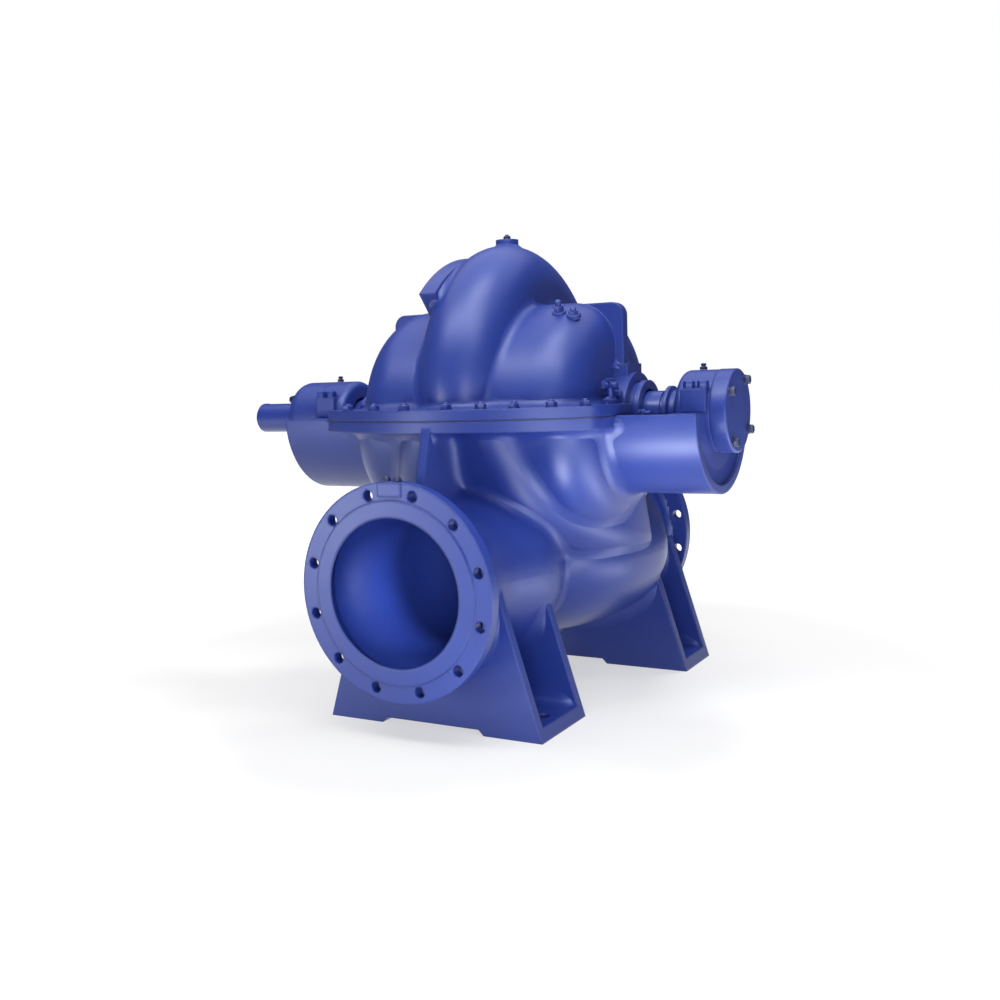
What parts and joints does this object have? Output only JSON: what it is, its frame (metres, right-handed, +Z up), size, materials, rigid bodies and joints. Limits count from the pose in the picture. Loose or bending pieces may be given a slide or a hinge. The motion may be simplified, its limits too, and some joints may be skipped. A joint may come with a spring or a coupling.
{
  "type": "axially split double-suction volute pump",
  "caption": "Bare-shaft double-suction centrifugal pump with a casing split along the shaft, side flanges below the shaft, open bearing brackets and cast feet.",
  "frame": {"origin": "on the ground plane under the shaft, at the centre of the four foundation bolt holes and in the plane of the volute", "axes": "+X along the shaft away from the drive end, +Y from the discharge flange to the suction flange, +Z up"},
  "size_m": [1.284, 1.034, 1.0512],
  "materials": {
    "blue_paint": "semi-gloss royal blue paint on rough castings",
    "painted_shaft": "turned steel under a thin coat of blue paint",
    "sleeve_steel": "turned sleeves overpainted blue",
    "bronze": "cast and turned bronze",
    "packing_braid": "greased braid",
    "bearing_steel": "ground steel",
    "dark_fittings": "dark overpainted fittings"
  },
  "bodies": {
    "pump": {"lower_casing": "blue_paint", "upper_casing": "blue_paint", "vent_plug": "dark_fittings", "wear_ring_de": "bronze", "packing_de": "packing_braid", "gland_de": "blue_paint", "bearing_housing_de": "blue_paint", "bearing_de": "bearing_steel", "bearing_cover_de": "blue_paint", "grease_nipple_de": "dark_fittings", "tap_plug_de": "dark_fittings", "wear_ring_nde": "bronze", "packing_nde": "packing_braid", "gland_nde": "blue_paint", "bearing_housing_nde": "blue_paint", "bearing_nde": "bearing_steel", "bearing_cover_nde": "blue_paint", "grease_nipple_nde": "dark_fittings", "tap_plug_nde": "dark_fittings"},
    "rotor": {"shaft": "painted_shaft", "impeller": "bronze", "shaft_sleeve_de": "sleeve_steel", "thrower_de": "blue_paint", "shaft_sleeve_nde": "sleeve_steel", "thrower_nde": "blue_paint"}
  },
  "joints": [
    {"name": "shaft_spin", "type": "hinge", "parent": "pump", "child": "rotor", "pos_m": [0, 0, 0.64], "axis": [1, 0, 0], "continuous": true}
  ]
}
